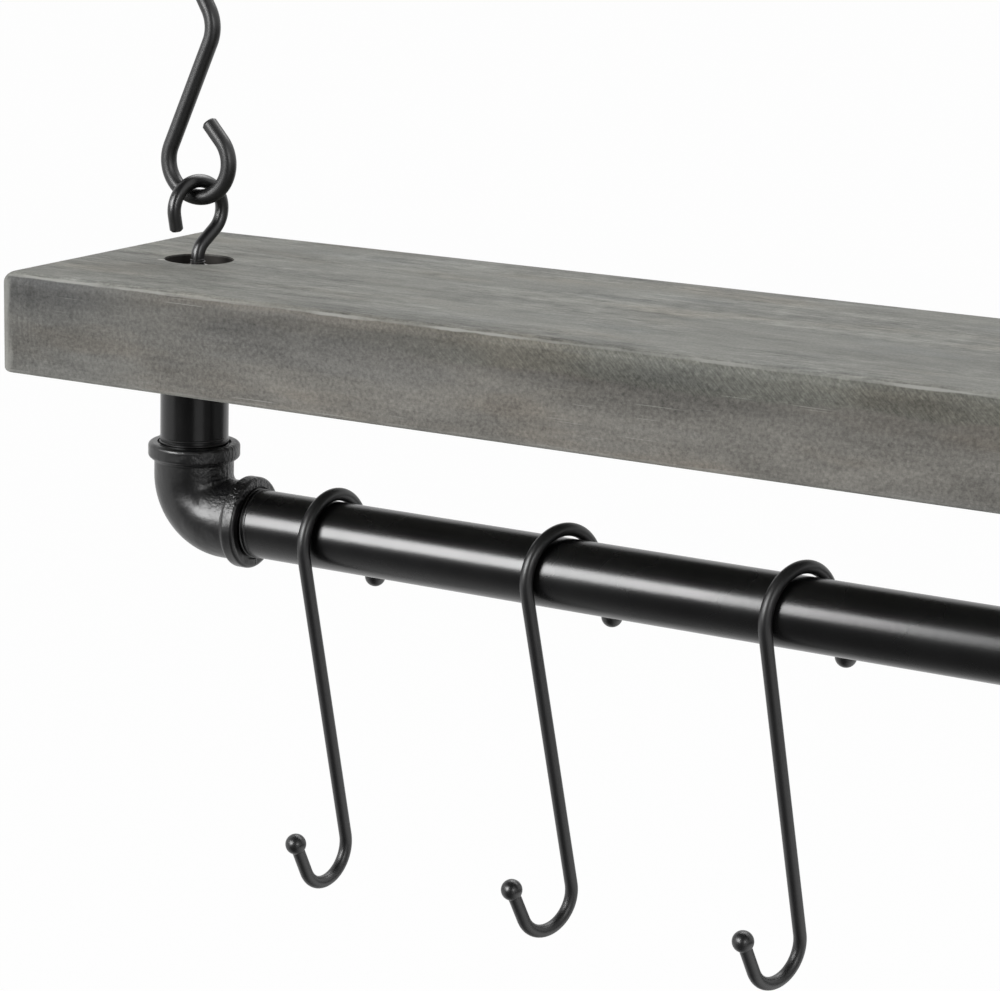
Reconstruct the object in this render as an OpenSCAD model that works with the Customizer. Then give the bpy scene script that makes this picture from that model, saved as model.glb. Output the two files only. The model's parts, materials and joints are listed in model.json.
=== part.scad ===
// Hanging pot rack: a thick board hangs by two hook bolts and S-hooks, and carries a rail of
// iron pipe below it on two nipples and two elbows, with wire pan hooks that slide along the rail.
// Millimetres. The origin is the middle of the board's top face, with X to the right along the
// board, Y to the back and Z up.

/* [Board] */
// Length of the board, left to right
board_length = 914.4; // [700:0.1:1220]
// Depth of the board, front to back
board_depth = 139.7; // [100:0.1:190]
// Thickness of the board
board_thickness = 38.1; // [34:0.1:48]
// Radius of the four upright corners, seen from above
corner_round = 3; // [1.5:0.5:12]
// Rounding along the front and back edges
long_edge_round = 2; // [1:0.5:6]
// Rounding of the edges across the two ends
end_edge_round = 3; // [1:0.5:6]
// From each end of the board to the line of its nipple
overhang = 41.5; // [36:0.5:70]
// Width of each hole in the top, which a nut lies in
counterbore_d = 26.8; // [22:0.1:32]
// Depth of the holes in the top
counterbore_depth = 9; // [8:0.5:12]
// How far the holes in the top were drilled off the nipples' lines, towards the middle
counterbore_shift = 1.6; // [0:0.1:3]
// How far each nipple goes into the board from below
socket_depth = 14.9; // [12:0.1:17]

/* [Pipe and fittings] */
// Outer width of the rail and of the nipples
pipe_d = 26.7; // [24:0.1:30]
// Wall of the pipe
pipe_wall = 2.87; // [2.4:0.01:3.6]
// Length of each nipple
nipple_length = 63.5; // [55:0.5:110]
// How far a pipe goes into an elbow
thread_reach = 14.5; // [11:0.5:16]
// Wall of the elbow outside its thread
elbow_wall = 2.25; // [1.6:0.05:3]
// Radius of the inside corner of the elbow's bend
elbow_crotch = 0.6; // [0.4:0.1:8]
// Straight collar from the end of the bend to the elbow's face
elbow_collar = 12.8; // [9:0.1:15]
// How far the bead at each mouth stands out from the elbow's body
bead_height = 2.4; // [1.5:0.1:3]
// Width of the bead
bead_width = 6.3; // [5:0.1:7.5]
// Rounding of the bead's edges
bead_round = 1.6; // [0.8:0.1:2]
// Radius of the hollow where the bead runs into the elbow's body
bead_fillet = 1.4; // [0.8:0.1:1.5]
// Widening of the mouth around the pipe
mouth_flare = 1.1; // [0.5:0.1:1.5]
// Depth of that widening
mouth_flare_depth = 1.3; // [0.8:0.1:2]

/* [Hook bolts] */
// Width of the wire that each hook bolt is bent from
bolt_wire = 5.2; // [4.8:0.1:6]
// How far the hook bolts stand off the nipples' lines, towards the middle
bolt_shift = 1; // [0:0.1:2]
// Radius of the bolt's ring, along the middle of the wire
ring_r = 11; // [9.5:0.1:14]
// Height of the ring's middle above the board
ring_height = 19.2; // [18:0.1:26]
// How far the ring is bent, in degrees from level behind, over the top, to its straight tip
ring_tip_angle = 190; // [185:1:215]
// Length of the ring's straight tip
ring_tip = 6; // [2:0.1:7]
// Lean of the straight piece between the ring and the shank
ring_neck_lean = 47; // [42:1:55]
// Radius of the bend above the shank
neck_bend_r = 8; // [6:0.5:9]
// Turn of the ring's plane from the board's length
ring_turn = 67; // [50:1:90]
// How far the shank goes below the board's web, into the nipple's plug
shank_reach = 12; // [9:0.5:16]
// Width of the nut across its flats
nut_flats = 10; // [9.5:0.1:11.5]
// Height of the nut
nut_height = 5; // [4:0.1:5.5]
// Bevel at the nut's corners, measured down each edge
nut_bevel = 0.7; // [0.3:0.1:1]
// Width of the washer
washer_d = 18; // [15:0.5:20]
// Thickness of the washer
washer_height = 1.6; // [1:0.1:2]
// Height of the plug in the top of each nipple
plug_height = 12; // [9:0.5:18]

/* [S-hooks] */
// Width of the S-hook's wire
s_wire = 6.1; // [5:0.1:6.5]
// Radius of the lower curl, along the middle of the wire
s_curl_r = 13.5; // [12:0.1:16]
// Lean of the long straight from upright
s_lean = 23.1; // [16:0.1:28]
// Length of the long straight
s_straight = 43.7; // [35:0.1:70]
// How far the lower curl runs up past level before its straight tip
s_tip_angle = 41.4; // [30:0.1:55]
// Length of the lower curl's straight tip
s_tip = 8.9; // [6:0.1:12]
// Radius of the bend above the long straight
s_shoulder_r = 14.1; // [11:0.1:18]
// How far that bend turns, in degrees
s_shoulder_bend = 52.7; // [45:0.1:60]
// Length of the neck between that bend and the upper curl
s_neck = 13; // [8:0.1:25]
// Radius of the upper curl, along the middle of the wire
s_upper_r = 12; // [10.5:0.1:16]
// How far the upper curl bends, in degrees
s_upper_bend = 135; // [120:1:160]
// Length of the upper curl's straight tip
s_upper_tip = 3; // [2:0.1:10]

/* [Pan hooks] */
// From each nipple's line to the nearest pan hook
hook_margin = 63.3; // [62:0.1:75]
// How far each hook has been pushed along from even spacing
hook_shifts = [0, -3.2, -10.8, 4, -6, 3, -4, 0]; // [-11:0.1:11]
// Turn of each hook's plane from square across the rail
hook_turns = [9.3, 22, 22, 17, 20, 14, 19, 12]; // [0:0.1:22]
// Width of the hooks' wire
hook_wire = 5; // [4:0.1:5.5]
// The most that a hook can turn on the rail before its crown jams
crown_turn = 22; // [22:1:30]
// Play of the turned crown on the rail
crown_play = 0.46; // [0.4:0.01:2]
// How far the crown's back end stops above level, in degrees
crown_back_angle = 21.9; // [15:0.1:30]
// Length of the straight behind the rail
back_straight = 29.8; // [22:0.1:40]
// Lean of the long leg from upright
leg_lean = 13.5; // [10:0.1:18]
// Length of the long leg
leg_length = 123.9; // [80:0.1:160]
// Radius of the lower curl, along the middle of the wire
curl_r = 12.9; // [10:0.1:16]
// How far the lower curl bends, in degrees
curl_bend = 167.5; // [150:0.5:180]
// Length of the straight in front of the lower curl
front_straight = 16.1; // [10:0.1:24]
// Width of the balls on the wire's ends
ball_d = 8.2; // [7.5:0.1:10]
// How far the wire goes past the middle of a ball
ball_grip = 0.8; // [0:0.1:1.2]

/* [Fits and finish] */
// Gap between a pan hook's crown and the rail that it hangs on
hang_gap = 0.3; // [0.2:0.05:0.4]
// Gap between an S-hook's curl and the ring that it links with
link_gap = 0.6; // [0.4:0.05:1]
// Gap around a bolt, pipe or wire in the piece that holds it
hold_gap = 0.05; // [0.02:0.01:0.1]
// Gap around a pipe in its socket in the wood
wood_gap = 0.1; // [0.05:0.05:0.3]
// Bevel on the cut ends of the wires
wire_bevel = 0.8; // [0.3:0.1:1.2]

/* [Hidden] */
$fn = 48;

WOOD = [0.47, 0.46, 0.45];
SATIN_BLACK = [0.09, 0.09, 0.095];
CAST_BLACK = [0.12, 0.12, 0.125];
ZINC = [0.72, 0.70, 0.66];

// Lines and levels that the pieces share
nipple_x = board_length / 2 - overhang;
bolt_x = nipple_x - bolt_shift;
web_top = -counterbore_depth;
web_bottom = socket_depth - board_thickness;
elbow_body_r = pipe_d / 2 + elbow_wall;
elbow_bend_r = elbow_body_r + elbow_crotch;
elbow_reach = elbow_bend_r + elbow_collar;
elbow_face = web_bottom - nipple_length + thread_reach;
rail_height = elbow_face - elbow_reach;
rail_end = nipple_x - elbow_reach + thread_reach;
ring_top = ring_height + ring_r;

// How far a cut runs clear past the face that it opens
cut = 1;
// How much wider than the wire the ball is that joins a bend to a straight
joint_swell = 0.02;

function on_circle(r, a) = [r * cos(a), r * sin(a)];
// Point at a distance from another along a direction
function along(from, a, distance) = from + on_circle(distance, a);

// ---- Wire, bent in the XY plane ----

// Bend with a ball at each end, a hair wider than the wire, that joins it to the straights
module wire_arc(width, middle, r, start, bend)
    translate([middle.x, middle.y, 0]) {
        rotate_extrude(angle = bend, start = start)
            translate([r, 0])
                circle(d = width);
        for (end = [start, start + bend])
            rotate([0, 0, end])
                translate([r, 0, 0])
                    rotate([90, 0, 0])
                        sphere(d = width + joint_swell);
    }

module wire_straight(width, from, to)
    translate([from.x, from.y, 0])
        rotate([0, 0, atan2(to.y - from.y, to.x - from.x)])
            rotate([0, 90, 0])
                cylinder(h = norm(to - from), d = width);

// Straight end of a wire whose cut edge is bevelled
module wire_tip(width, from, to) {
    length = norm(to - from);
    translate([from.x, from.y, 0])
        rotate([0, 0, atan2(to.y - from.y, to.x - from.x)])
            rotate([0, 90, 0]) {
                cylinder(h = length - wire_bevel, d = width);
                translate([0, 0, length - wire_bevel])
                    cylinder(h = wire_bevel, d1 = width, d2 = width - 2 * wire_bevel);
            }
}

// Stands a bend up, with its X axis turned from the board's length
module stand(turn)
    rotate([0, 0, turn])
        rotate([90, 0, 0])
            children();

module right_end()
    mirror([1, 0, 0])
        children();

module both_ends() {
    children();
    right_end() children();
}

// ---- Board ----

module rounded_rectangle(width, height, r) {
    square([width - 2 * r, height], center = true);
    square([width, height - 2 * r], center = true);
    for (x = [-1, 1], y = [-1, 1])
        translate([x * (width / 2 - r), y * (height / 2 - r)])
            circle(r = r);
}

module board_blank()
    translate([0, 0, -board_thickness / 2])
        intersection() {
            linear_extrude(board_thickness, center = true)
                rounded_rectangle(board_length, board_depth, corner_round);
            rotate([90, 0, 90])
                linear_extrude(board_length, center = true)
                    rounded_rectangle(board_depth, board_thickness, long_edge_round);
            rotate([90, 0, 0])
                linear_extrude(board_depth, center = true)
                    rounded_rectangle(board_length, board_thickness, end_edge_round);
        }

// Hole for a nut above, clearance for the bolt, and socket for a nipple below
module bolt_holes() {
    translate([-nipple_x + counterbore_shift, 0, web_top])
        cylinder(h = counterbore_depth + cut, d = counterbore_d);
    translate([-bolt_x, 0, -board_thickness - cut])
        cylinder(h = board_thickness + 2 * cut, d = bolt_wire + 2 * hold_gap);
    translate([-nipple_x, 0, -board_thickness - cut])
        cylinder(h = socket_depth + cut, d = pipe_d + 2 * wood_gap);
}

module shelf_board()
    color(WOOD)
        difference() {
            board_blank();
            both_ends() bolt_holes();
        }

// ---- Nipples, elbows and rail ----

module pipe(length)
    difference() {
        cylinder(h = length, d = pipe_d);
        translate([0, 0, -cut])
            cylinder(h = length + 2 * cut, d = pipe_d - 2 * pipe_wall);
    }

module left_nipple()
    color(SATIN_BLACK)
        translate([-nipple_x, 0, web_bottom - nipple_length])
            pipe(nipple_length);

module right_nipple()
    right_end() left_nipple();

module rail_pipe()
    color(SATIN_BLACK)
        translate([-rail_end, 0, rail_height])
            rotate([0, 90, 0])
                pipe(2 * rail_end);

// Half section of the bead: a band with round edges and a hollow fillet down to the body
module bead_profile() {
    bead_r = elbow_body_r + bead_height;
    inner = pipe_d / 2;
    translate([inner, -bead_width])
        square([bead_r - bead_round - inner, bead_width]);
    translate([inner, bead_round - bead_width])
        square([bead_r - inner, bead_width - 2 * bead_round]);
    for (y = [-bead_round, bead_round - bead_width])
        translate([bead_r - bead_round, y])
            circle(r = bead_round);
    difference() {
        translate([inner, -bead_width - bead_fillet])
            square([elbow_body_r - inner + bead_fillet, bead_fillet + bead_round]);
        translate([elbow_body_r + bead_fillet, -bead_width - bead_fillet])
            circle(r = bead_fillet);
    }
}

// Collar of the elbow below its face, which lies at the origin and looks up
module elbow_collar_solid() {
    translate([0, 0, -elbow_collar])
        cylinder(h = elbow_collar, r = elbow_body_r);
    rotate_extrude() bead_profile();
}

// Mouth that a pipe screws into, seen from the same origin
module elbow_mouth() {
    translate([0, 0, -thread_reach])
        cylinder(h = thread_reach + cut, r = pipe_d / 2 + hold_gap);
    translate([0, 0, -mouth_flare_depth])
        cylinder(h = mouth_flare_depth + cut, r = pipe_d / 2 + mouth_flare);
    translate([0, 0, -elbow_collar])
        cylinder(h = elbow_collar, r = pipe_d / 2 - pipe_wall);
}

// Quarter bend from under the upper collar round to the side collar
module elbow_bend(r)
    translate([elbow_bend_r, 0, elbow_bend_r])
        rotate([90, 0, 0])
            rotate_extrude(angle = 90, start = 180)
                translate([elbow_bend_r, 0])
                    circle(r = r);

module at_elbow_faces() {
    translate([0, 0, elbow_reach]) children();
    translate([elbow_reach, 0, 0]) rotate([0, 90, 0]) children();
}

module left_elbow()
    color(CAST_BLACK)
        translate([-nipple_x, 0, rail_height])
            difference() {
                union() {
                    elbow_bend(elbow_body_r);
                    at_elbow_faces() elbow_collar_solid();
                }
                elbow_bend(pipe_d / 2 - pipe_wall);
                at_elbow_faces() elbow_mouth();
            }

module right_elbow()
    right_end() left_elbow();

// ---- Hook bolts and their hardware ----

module left_hook_bolt() {
    middle = [0, ring_height];
    ring_end = middle + on_circle(ring_r, -ring_neck_lean);
    neck_drop = (ring_end.x - neck_bend_r * (1 - cos(ring_neck_lean))) / sin(ring_neck_lean);
    neck_end = along(ring_end, -90 - ring_neck_lean, neck_drop);
    shank_top = [0, neck_end.y - neck_bend_r * sin(ring_neck_lean)];
    tip_start = middle + on_circle(ring_r, ring_tip_angle);
    color(SATIN_BLACK)
        translate([-bolt_x, 0, 0])
            stand(ring_turn) {
                wire_arc(bolt_wire, middle, ring_r, -ring_neck_lean, ring_tip_angle + ring_neck_lean);
                wire_tip(bolt_wire, tip_start, along(tip_start, ring_tip_angle + 90, ring_tip));
                wire_straight(bolt_wire, ring_end, neck_end);
                wire_arc(bolt_wire, shank_top + [neck_bend_r, 0], neck_bend_r,
                         180 - ring_neck_lean, ring_neck_lean);
                wire_tip(bolt_wire, shank_top, [0, web_bottom - shank_reach]);
            }
}

module right_hook_bolt()
    right_end() left_hook_bolt();

module washer()
    difference() {
        cylinder(h = washer_height, d = washer_d);
        translate([0, 0, -cut])
            cylinder(h = washer_height + 2 * cut, d = bolt_wire + 2 * hold_gap);
    }

// Hexagon nut, its corners taken down by a cone at each face
module nut() {
    corner_r = nut_flats / 2 / cos(30);
    difference() {
        intersection() {
            cylinder(h = nut_height, r = corner_r, $fn = 6);
            cylinder(h = nut_height, r1 = nut_flats / 2 + nut_height, r2 = nut_flats / 2 - nut_bevel);
        }
        translate([0, 0, -cut])
            cylinder(h = nut_height + 2 * cut, d = bolt_wire + 2 * hold_gap);
    }
}

module clamp_washers()
    color(ZINC)
        both_ends()
            translate([-bolt_x, 0, web_top])
                washer();

module clamp_nuts()
    color(ZINC)
        both_ends()
            translate([-bolt_x, 0, web_top + washer_height])
                nut();

// Threaded plugs in the tops of the nipples, which the hook bolts screw into
module nipple_plugs()
    color(ZINC)
        both_ends()
            translate([-nipple_x, 0, web_bottom - plug_height])
                difference() {
                    cylinder(h = plug_height, r = pipe_d / 2 - pipe_wall - hold_gap);
                    translate([bolt_shift, 0, -cut])
                        cylinder(h = plug_height + 2 * cut, d = bolt_wire + 2 * hold_gap);
                }

// ---- S-hooks ----

s_neck_lean = s_shoulder_bend - s_lean;

// Where the wire's middle runs, from the middle of the lower curl
function s_shank_start() = on_circle(s_curl_r, 180 - s_lean);
function s_shank_end() = along(s_shank_start(), 90 - s_lean, s_straight);
function s_shoulder_middle() = s_shank_end() + on_circle(s_shoulder_r, 180 - s_lean);
function s_neck_start() = s_shoulder_middle() + on_circle(s_shoulder_r, s_neck_lean);
function s_neck_end() = along(s_neck_start(), 90 + s_neck_lean, s_neck);
function s_upper_middle() = s_neck_end() + on_circle(s_upper_r, 180 + s_neck_lean);

module left_s_hook() {
    curl_height = ring_top - bolt_wire / 2 - link_gap - s_wire / 2 + s_curl_r;
    tip_start = on_circle(s_curl_r, s_tip_angle);
    upper_end = s_neck_lean + s_upper_bend;
    upper_tip_start = s_upper_middle() + on_circle(s_upper_r, upper_end);
    color(SATIN_BLACK)
        translate([-bolt_x, 0, curl_height])
            stand(0) {
                wire_tip(s_wire, tip_start, along(tip_start, s_tip_angle + 90, s_tip));
                wire_arc(s_wire, [0, 0], s_curl_r, -180 - s_lean, 180 + s_lean + s_tip_angle);
                wire_straight(s_wire, s_shank_start(), s_shank_end());
                wire_arc(s_wire, s_shoulder_middle(), s_shoulder_r, -s_lean, s_shoulder_bend);
                wire_straight(s_wire, s_neck_start(), s_neck_end());
                wire_arc(s_wire, s_upper_middle(), s_upper_r, s_neck_lean, s_upper_bend);
                wire_tip(s_wire, upper_tip_start, along(upper_tip_start, upper_end + 90, s_upper_tip));
            }
}

module right_s_hook()
    right_end() left_s_hook();

// ---- Pan hooks ----

rail_contact = (pipe_d + hook_wire) / 2;
crown_r = (rail_contact + crown_play) / cos(crown_turn);
hook_pitch = 2 * (nipple_x - hook_margin) / (len(hook_turns) - 1);

// How far a crown comes down until it meets the rail: on top, or on two sides when it is turned
function crown_drop(turn) =
    let (touch = rail_contact + hang_gap,
         side = tan(turn) * sqrt(max(0, pow(crown_r * cos(turn), 2) - pow(touch, 2))))
    side < crown_r * pow(sin(turn), 2) ? side : crown_r - touch;

function leg_top() = on_circle(crown_r, 180 + leg_lean);
function leg_foot() = along(leg_top(), leg_lean - 90, leg_length);
function curl_middle() = along(leg_foot(), 180 + leg_lean, curl_r);
function curl_end() = curl_middle() + on_circle(curl_r, leg_lean - curl_bend);
function front_tip() = along(curl_end(), leg_lean - curl_bend - 90, front_straight);
function crown_back() = on_circle(crown_r, crown_back_angle);
function back_tip() = along(crown_back(), crown_back_angle - 90, back_straight);

// Puts a bend on the rail at the place, turn and height of one hook
module on_rail(number) {
    turn = hook_turns[number - 1];
    x = hook_margin - nipple_x + hook_pitch * (number - 1) + hook_shifts[number - 1];
    translate([x, 0, rail_height - crown_drop(turn)])
        stand(90 - turn)
            children();
}

module pan_hook(number)
    color(SATIN_BLACK)
        on_rail(number) {
            wire_straight(hook_wire, back_tip(), crown_back());
            wire_arc(hook_wire, [0, 0], crown_r, crown_back_angle, 180 + leg_lean - crown_back_angle);
            wire_straight(hook_wire, leg_top(), leg_foot());
            wire_arc(hook_wire, curl_middle(), curl_r, leg_lean - curl_bend, curl_bend);
            wire_straight(hook_wire, curl_end(), front_tip());
        }

// Ball with a blind hole that the wire's end is set in
module ball(tip, away)
    translate([tip.x, tip.y, 0])
        rotate([0, 0, atan2(away.y - tip.y, away.x - tip.x)])
            rotate([0, 90, 0])
                rotate_extrude()
                    difference() {
                        translate([0, ball_grip])
                            circle(d = ball_d);
                        translate([-ball_d, ball_grip - ball_d])
                            square([ball_d, 2 * ball_d]);
                        translate([-cut, -hold_gap])
                            square([hook_wire / 2 + hold_gap + cut, ball_d]);
                    }

module pan_hook_balls(number)
    color(SATIN_BLACK)
        on_rail(number) {
            ball(back_tip(), crown_back());
            ball(front_tip(), curl_end());
        }

shelf_board();
left_nipple();
right_nipple();
left_elbow();
right_elbow();
rail_pipe();
left_hook_bolt();
right_hook_bolt();
clamp_nuts();
clamp_washers();
nipple_plugs();
left_s_hook();
right_s_hook();
pan_hook(1);  // pan_hook_1
pan_hook(2);  // pan_hook_2
pan_hook(3);  // pan_hook_3
pan_hook(4);  // pan_hook_4
pan_hook(5);  // pan_hook_5
pan_hook(6);  // pan_hook_6
pan_hook(7);  // pan_hook_7
pan_hook(8);  // pan_hook_8
pan_hook_balls(1);  // pan_hook_1_balls
pan_hook_balls(2);  // pan_hook_2_balls
pan_hook_balls(3);  // pan_hook_3_balls
pan_hook_balls(4);  // pan_hook_4_balls
pan_hook_balls(5);  // pan_hook_5_balls
pan_hook_balls(6);  // pan_hook_6_balls
pan_hook_balls(7);  // pan_hook_7_balls
pan_hook_balls(8);  // pan_hook_8_balls
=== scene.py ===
import json
import math

import bmesh
import bpy
from bpy.props import FloatProperty, FloatVectorProperty, IntProperty, PointerProperty
from mathutils import Matrix, Vector

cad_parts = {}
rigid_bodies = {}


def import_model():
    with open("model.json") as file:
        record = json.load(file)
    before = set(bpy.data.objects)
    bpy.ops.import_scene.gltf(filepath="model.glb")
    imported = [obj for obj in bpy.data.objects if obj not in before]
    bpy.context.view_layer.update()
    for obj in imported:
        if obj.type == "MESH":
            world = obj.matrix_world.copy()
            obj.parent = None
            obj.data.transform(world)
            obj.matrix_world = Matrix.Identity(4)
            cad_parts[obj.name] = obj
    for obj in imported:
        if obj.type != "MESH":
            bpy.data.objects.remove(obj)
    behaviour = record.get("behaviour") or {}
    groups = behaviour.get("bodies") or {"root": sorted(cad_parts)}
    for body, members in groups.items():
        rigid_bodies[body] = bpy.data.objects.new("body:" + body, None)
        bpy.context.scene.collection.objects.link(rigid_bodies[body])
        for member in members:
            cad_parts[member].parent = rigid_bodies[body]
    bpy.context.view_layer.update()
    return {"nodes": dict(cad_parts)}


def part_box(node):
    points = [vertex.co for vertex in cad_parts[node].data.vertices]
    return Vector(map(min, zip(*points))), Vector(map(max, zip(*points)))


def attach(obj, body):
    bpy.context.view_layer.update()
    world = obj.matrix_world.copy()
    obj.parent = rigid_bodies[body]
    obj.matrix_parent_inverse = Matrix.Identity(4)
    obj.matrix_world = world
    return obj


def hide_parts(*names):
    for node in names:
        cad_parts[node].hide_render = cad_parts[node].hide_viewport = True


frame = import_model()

bl_info = {
    "name": "Hanging pot rack",
    "version": (1, 0, 0),
    "blender": (4, 5, 0),
    "location": "3D View > Sidebar > Pot Rack",
    "description": "Sanded board, finishes, exposed threads and studio for the hanging pot rack",
    "category": "Object",
}

# Boxes and places of the solids, in metres
BOARD_LOW, BOARD_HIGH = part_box("shelf_board")
BOARD_MIDDLE = (Vector(BOARD_LOW) + Vector(BOARD_HIGH)) / 2
BOARD_HALF = (Vector(BOARD_HIGH) - Vector(BOARD_LOW)) / 2
RAIL_LOW, RAIL_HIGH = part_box("rail_pipe")
RAIL_Z = (RAIL_LOW.z + RAIL_HIGH.z) / 2
NIPPLE_LOW, NIPPLE_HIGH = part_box("left_nipple")
NIPPLE_X = (NIPPLE_LOW.x + NIPPLE_HIGH.x) / 2
ELBOW_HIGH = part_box("left_elbow")[1]
WASHER_LOW, WASHER_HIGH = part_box("clamp_washers")
BOLT_X = WASHER_LOW.x + (WASHER_HIGH.y - WASHER_LOW.y) / 2
NUT_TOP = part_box("clamp_nuts")[1].z


# Settings


class PotRackWood(bpy.types.PropertyGroup):
    """Grey-washed board."""

    # The top is given a lighter, less brown wash than the sides: partly the wood's own colour, partly painted
    # light from above
    top_colour: FloatVectorProperty(
        name="Top", description="Washed grey of the top face",
        subtype="COLOR", size=3, min=0, max=1, default=(0.183, 0.184, 0.1665),
    )
    side_colour: FloatVectorProperty(
        name="Sides", description="Browner grey of the front, back and ends",
        subtype="COLOR", size=3, min=0, max=1, default=(0.1265, 0.1215, 0.1100),
    )
    # Pale wood of the rubbed edges and scratches, also used as a painted highlight along the long edges and
    # upright corners
    worn_and_highlight_colour: FloatVectorProperty(
        name="Worn edge", description="Pale wood where the edges are rubbed",
        subtype="COLOR", size=3, min=0, max=1, default=(0.30, 0.30, 0.28),
    )
    # Painted shade: the walls of the holes in the top are painted near black
    bore_shade_colour: FloatVectorProperty(
        name="Bores", description="Dark bare wood inside the two holes in the top",
        subtype="COLOR", size=3, min=0, max=1, default=(0.02, 0.018, 0.016),
    )
    worn_and_highlight_width: FloatProperty(
        name="Worn width", description="Width of the rubbed line along the edges",
        unit="LENGTH", default=0.0006,
    )
    corner_radius: FloatProperty(
        name="Corner radius", description="Radius of the four upright corners",
        unit="LENGTH", default=0.0055,
    )
    top_round: FloatProperty(
        name="Top rounding", description="How far down the top's rounded edges go",
        unit="LENGTH", default=0.0045,
    )
    long_round: FloatProperty(
        name="Long rounding", description="How far in the front and back edges are rounded",
        unit="LENGTH", default=0.0036,
    )
    end_round: FloatProperty(
        name="End rounding", description="How far in the two ends' edges are rounded",
        unit="LENGTH", default=0.0060,
    )
    foot_round: FloatProperty(
        name="Lower rounding", description="Radius of the lower edges",
        unit="LENGTH", default=0.0018,
    )
    round_steps: IntProperty(
        name="Rounding steps", description="Steps over a quarter turn of rounding",
        default=10, min=2, max=24,
    )
    counterbore: FloatProperty(
        name="Counterbore", description="Diameter of the holes in the top",
        unit="LENGTH", default=0.0268,
    )
    counterbore_shift: FloatProperty(
        name="Counterbore shift", description="How far the holes in the top stand inward of the pipes",
        unit="LENGTH", default=0.0016,
    )
    bolt_hole: FloatProperty(
        name="Bolt hole", description="Diameter of the holes for the hook bolts",
        unit="LENGTH", default=0.0053,
    )
    socket: FloatProperty(
        name="Socket", description="Diameter of the sockets for the pipes",
        unit="LENGTH", default=0.0269,
    )
    streak_length: FloatProperty(
        name="Streak length", description="Length of the streaks along the board",
        unit="LENGTH", default=0.06,
    )
    streak_width: FloatProperty(
        name="Streak width", description="Width of the streaks",
        unit="LENGTH", default=0.0021,
    )


class PotRackMetal(bpy.types.PropertyGroup):
    """Black coating and bright fasteners."""

    pipe_colour: FloatVectorProperty(
        name="Pipe", description="Satin black of the pipes",
        subtype="COLOR", size=3, min=0, max=1, default=(0.0014, 0.0014, 0.0015),
    )
    casting_colour: FloatVectorProperty(
        name="Casting", description="Black of the elbows",
        subtype="COLOR", size=3, min=0, max=1, default=(0.0024, 0.0024, 0.0026),
    )
    wire_colour: FloatVectorProperty(
        name="Wire", description="Satin black of the wire hooks",
        subtype="COLOR", size=3, min=0, max=1, default=(0.0035, 0.0035, 0.0038),
    )
    crest_colour: FloatVectorProperty(
        name="Thread crests", description="Rubbed thread on the hook bolts",
        subtype="COLOR", size=3, min=0, max=1, default=(0.035, 0.034, 0.033),
    )
    zinc_colour: FloatVectorProperty(
        name="Zinc", description="Bright plating of the nuts, washers and plugs",
        subtype="COLOR", size=3, min=0, max=1, default=(0.62, 0.60, 0.56),
    )
    pipe_roughness: FloatProperty(
        name="Pipe roughness", description="Roughness of the rail's coating",
        subtype="FACTOR", min=0, max=1, default=0.27,
    )
    casting_roughness: FloatProperty(
        name="Casting roughness", description="Roughness of the elbow's coating",
        subtype="FACTOR", min=0, max=1, default=0.335,
    )
    wire_roughness: FloatProperty(
        name="Wire roughness", description="Roughness of the wire's coating",
        subtype="FACTOR", min=0, max=1, default=0.40,
    )


class PotRackThreads(bpy.types.PropertyGroup):
    """Turns of thread left showing at the elbows and on the hook bolts."""

    pitch: FloatProperty(
        name="Pitch", description="Distance between two turns on a pipe",
        unit="LENGTH", default=0.0018,
    )
    height: FloatProperty(
        name="Height", description="How far a turn stands out of the pipe",
        unit="LENGTH", default=0.0003,
    )
    turns: IntProperty(
        name="Turns", description="Turns made on each end, some of them inside the elbow",
        default=2, min=1, max=6,
    )
    steps: IntProperty(
        name="Steps", description="Steps round one turn",
        default=72, min=24, max=180,
    )
    bolt_wire: FloatProperty(
        name="Bolt wire", description="Diameter of the hook bolts' wire",
        unit="LENGTH", default=0.0052,
    )
    bolt_pitch: FloatProperty(
        name="Bolt pitch", description="Distance between two turns on a hook bolt",
        unit="LENGTH", default=0.001,
    )
    bolt_height: FloatProperty(
        name="Bolt height", description="How far a turn stands out of a hook bolt's wire",
        unit="LENGTH", default=0.00028,
    )


class PotRackStage(bpy.types.PropertyGroup):
    """Studio and camera."""

    camera_place: FloatVectorProperty(
        name="Camera", description="Where the camera stands",
        subtype="TRANSLATION", unit="LENGTH", size=3, default=(0.13645, -0.85644, 0.15935),
    )
    camera_azimuth: FloatProperty(
        name="Azimuth", description="Turn of the camera to the right of the front",
        subtype="ANGLE", default=math.radians(26.0068),
    )
    camera_pitch: FloatProperty(
        name="Pitch", description="How far the camera looks down",
        subtype="ANGLE", default=math.radians(13.8346),
    )
    camera_roll: FloatProperty(
        name="Roll", description="Tilt of the camera about its own axis",
        subtype="ANGLE", default=math.radians(2.0419),
    )
    lens: FloatProperty(
        name="Lens", description="Focal length in millimetres for a 36 mm wide sensor",
        default=95.1334, min=10, max=300,
    )
    floor_drop: FloatProperty(
        name="Floor", description="Depth of the floor under the board's top",
        unit="LENGTH", default=1.25,
    )
    key_power: FloatProperty(
        name="Key", description="Power of the soft box at the front left, in watts",
        default=45.0, min=0,
    )
    top_power: FloatProperty(
        name="Top", description="Power of the soft box above and behind, in watts",
        default=34.0, min=0,
    )
    left_power: FloatProperty(
        name="Left", description="Power of the small soft box at the left, in watts",
        default=6.0, min=0,
    )
    right_power: FloatProperty(
        name="Right", description="Power of the small soft box at the front right, in watts",
        default=6.5, min=0,
    )
    side_power: FloatProperty(
        name="Side", description="Power of the low panel at the front right, in watts",
        default=2.2, min=0,
    )
    room_level: FloatProperty(
        name="Room", description="Plain light of the room",
        default=0.07, min=0, max=1,
    )


# Shader helpers


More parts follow.
